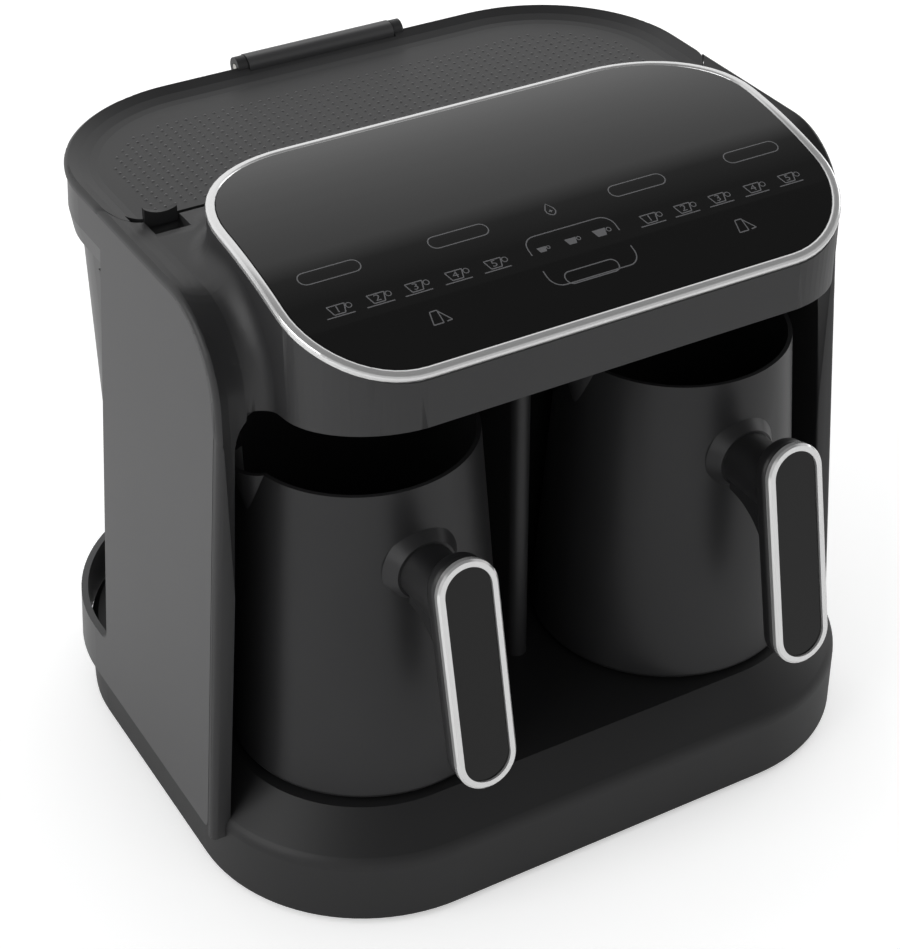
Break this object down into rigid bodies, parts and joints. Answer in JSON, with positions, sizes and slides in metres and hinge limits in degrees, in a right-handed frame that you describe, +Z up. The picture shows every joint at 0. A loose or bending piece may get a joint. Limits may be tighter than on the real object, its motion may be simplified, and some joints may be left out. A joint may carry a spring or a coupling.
{
  "type": "electric turkish coffee maker",
  "caption": "Countertop electric coffee maker with twin pots in open bays, a sloping glass touch panel, and a lift-out rear water tank with a hinged lid.",
  "frame": {"origin": "centre of the bounding box on the surface the feet stand on", "axes": "+Z up, -Y towards the user and the pot handles, +X to the right of the user facing the machine"},
  "size_m": [0.277, 0.2534, 0.2509],
  "materials": {
    "charcoal": "satin",
    "satin_grey": "satin",
    "tank_grey": "satin",
    "chrome": "polished",
    "black_glass": "gloss",
    "gloss_black": "gloss",
    "black_plastic": "matte",
    "pot_coating": "satin",
    "rubber": "matte",
    "silicone": "satin",
    "steel": "satin",
    "aluminium": "satin",
    "board": "satin",
    "white_plastic": "satin"
  },
  "bodies": {
    "housing": {"base_housing": "charcoal", "base_bottom_plate": "black_plastic", "base_screws": "steel", "rubber_feet": "rubber", "main_housing": "charcoal", "left_side_cover": "satin_grey", "right_side_cover": "satin_grey", "rear_panel": "black_plastic", "rear_panel_screws": "steel", "panel_trim_ring": "chrome", "control_glass": "black_glass", "control_board": "board", "power_board": "board", "tank_dock": "black_plastic", "dock_seal": "rubber", "cord_gland": "black_plastic", "left_pump": "white_plastic", "left_pump_bracket": "black_plastic", "left_inlet_hose": "silicone", "left_outlet_hose": "silicone", "left_water_nozzle": "black_plastic", "left_foam_sensor": "black_plastic", "left_pot_connector": "black_plastic", "right_pump": "white_plastic", "right_pump_bracket": "black_plastic", "right_inlet_hose": "silicone", "right_outlet_hose": "silicone", "right_water_nozzle": "black_plastic", "right_foam_sensor": "black_plastic", "right_pot_connector": "black_plastic"},
    "left_pot": {"left_pot_body": "pot_coating", "left_pot_base": "black_plastic", "left_heating_plate": "aluminium", "left_handle_grip": "black_plastic", "left_handle_ring": "chrome", "left_handle_inlay": "gloss_black", "left_handle_screw": "steel"},
    "right_pot": {"right_pot_body": "pot_coating", "right_pot_base": "black_plastic", "right_heating_plate": "aluminium", "right_handle_grip": "black_plastic", "right_handle_ring": "chrome", "right_handle_inlay": "gloss_black", "right_handle_screw": "steel"},
    "tank": {"water_tank": "tank_grey", "hinge_block": "satin_grey", "lid_hinge_pin": "steel", "tank_valve_body": "black_plastic", "valve_seal": "rubber", "valve_spring": "steel"},
    "lid": {"tank_lid": "charcoal"},
    "plunger": {"valve_plunger": "black_plastic"}
  },
  "joints": [
    {"name": "left_pot_slide", "type": "slide", "parent": "housing", "child": "left_pot", "axis": [0, -1, 0], "range_m": [0, 0.15]},
    {"name": "right_pot_slide", "type": "slide", "parent": "housing", "child": "right_pot", "axis": [0, -1, 0], "range_m": [0, 0.15]},
    {"name": "tank_lift", "type": "slide", "parent": "housing", "child": "tank", "axis": [0, 0, 1], "range_m": [0, 0.2]},
    {"name": "lid_hinge", "type": "hinge", "parent": "tank", "child": "lid", "pos_m": [0, 0.1173, 0.2337], "axis": [-1, 0, 0], "range_deg": [0, 95]},
    {"name": "plunger_slide", "type": "slide", "parent": "tank", "child": "plunger", "axis": [0, 0, 1], "range_m": [0, 0.003], "stiffness_N_per_m": 150, "deforming": ["valve_spring"]}
  ]
}
